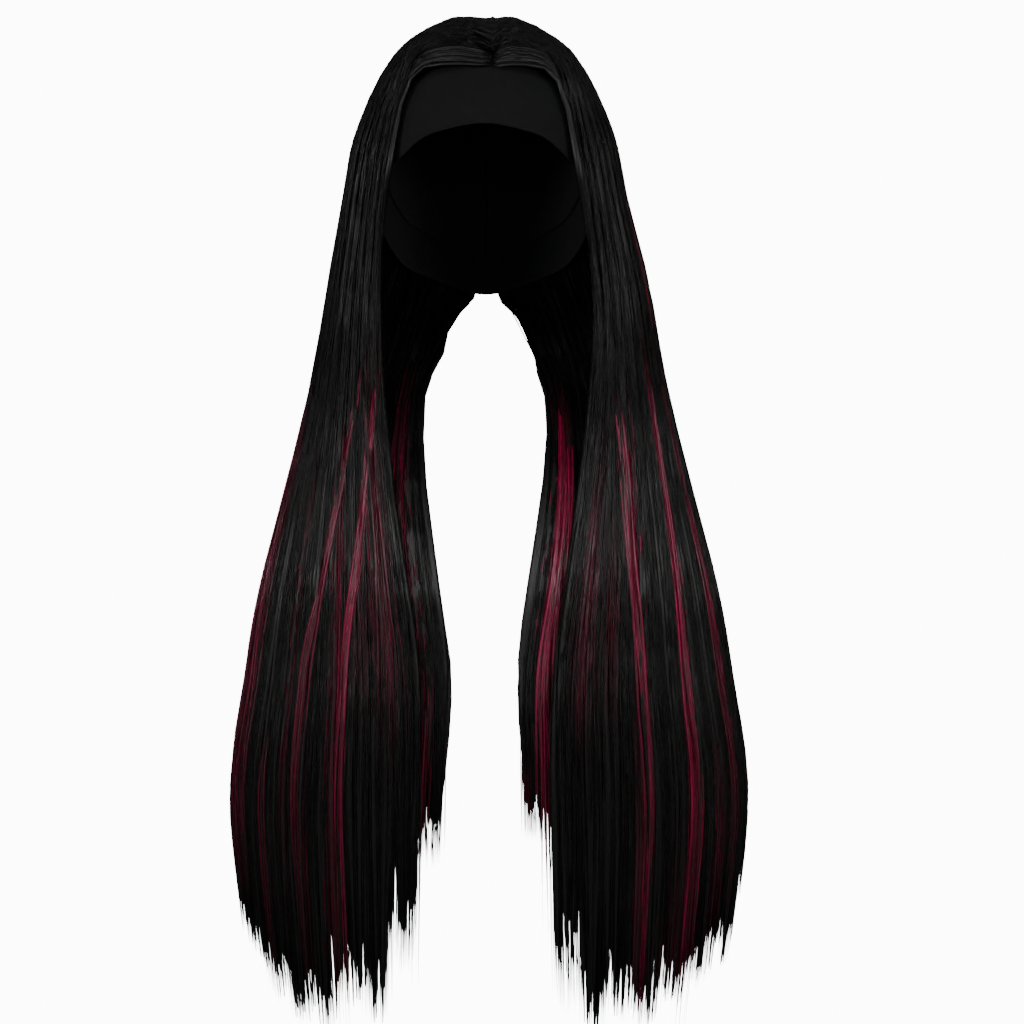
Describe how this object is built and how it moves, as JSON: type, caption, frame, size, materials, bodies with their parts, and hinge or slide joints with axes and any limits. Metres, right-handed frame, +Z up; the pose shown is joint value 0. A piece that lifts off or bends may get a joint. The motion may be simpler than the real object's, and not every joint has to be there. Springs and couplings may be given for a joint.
{
  "type": "half wig",
  "caption": "Half wig with a wide stretch headband, a cap behind it and long straight black hair in two front curtains with burgundy locks",
  "frame": {"origin": "Inside top of the cap, where the crown of the head that wears it touches", "axes": "+Z up, the wearer faces -Y, +X is to the right in a front view, which is the wearer's left"},
  "size_m": [0.3639, 0.2327, 0.7241],
  "materials": {
    "band_knit": "matte fine stretch knit",
    "cap_fabric": "matte stretch net with sewn wefts",
    "hair_black": "satin straight synthetic hair",
    "hair_burgundy": "satin straight synthetic hair"
  },
  "bodies": {
    "root": {"headband": "band_knit", "cap_front_right": "cap_fabric", "cap_back_right": "cap_fabric", "cap_back_left": "cap_fabric", "cap_front_left": "cap_fabric", "front_fall_left": "hair_black", "front_fall_right": "hair_black", "back_fall_left": "hair_black", "back_fall_right": "hair_black", "streak_left_cheek": "hair_burgundy", "streak_left_bright": "hair_burgundy", "streak_left_middle": "hair_burgundy", "streak_left_low": "hair_burgundy", "streak_left_edge": "hair_burgundy", "streak_left_inner": "hair_burgundy", "streak_right_bright": "hair_burgundy", "streak_right_middle": "hair_burgundy", "streak_right_edge": "hair_burgundy", "streak_right_inner": "hair_burgundy", "streak_right_cheek": "hair_burgundy"}
  },
  "joints": []
}
